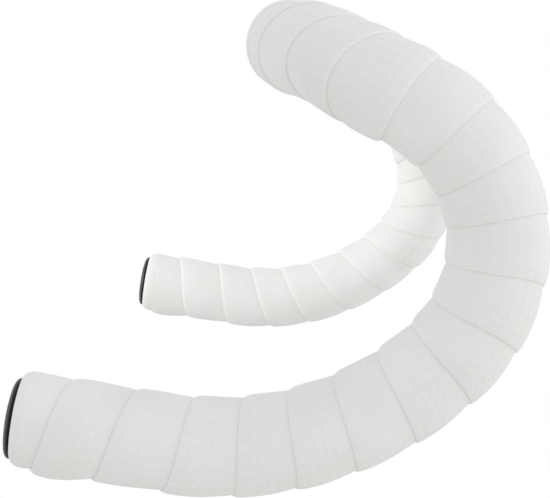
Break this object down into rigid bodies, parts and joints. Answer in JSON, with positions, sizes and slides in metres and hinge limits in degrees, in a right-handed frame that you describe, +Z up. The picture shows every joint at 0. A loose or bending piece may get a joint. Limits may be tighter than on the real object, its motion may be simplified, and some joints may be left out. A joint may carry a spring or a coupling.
{
  "type": "taped drop handlebar",
  "caption": "Drop handlebar for a road bicycle, wrapped from the ends of the drops to the tops in white padded tape, with dark end plugs.",
  "frame": {"origin": "middle of the clamp zone, on the bar's axis", "axes": "+X along the tops towards the rider's right, +Y forwards, +Z up"},
  "size_m": [0.455, 0.1777, 0.1654],
  "materials": {
    "bar_alloy": "black anodised, satin",
    "tape_foam": "white synthetic, matt, embossed with small dots",
    "plug_plastic": "black, satin",
    "band_vinyl": "black, satin"
  },
  "bodies": {
    "root": {"handlebar_tube": "bar_alloy", "tape_right": "tape_foam", "tape_left": "tape_foam", "end_plug_right": "plug_plastic", "end_plug_left": "plug_plastic", "finishing_tape_right": "band_vinyl", "finishing_tape_left": "band_vinyl"}
  },
  "joints": []
}
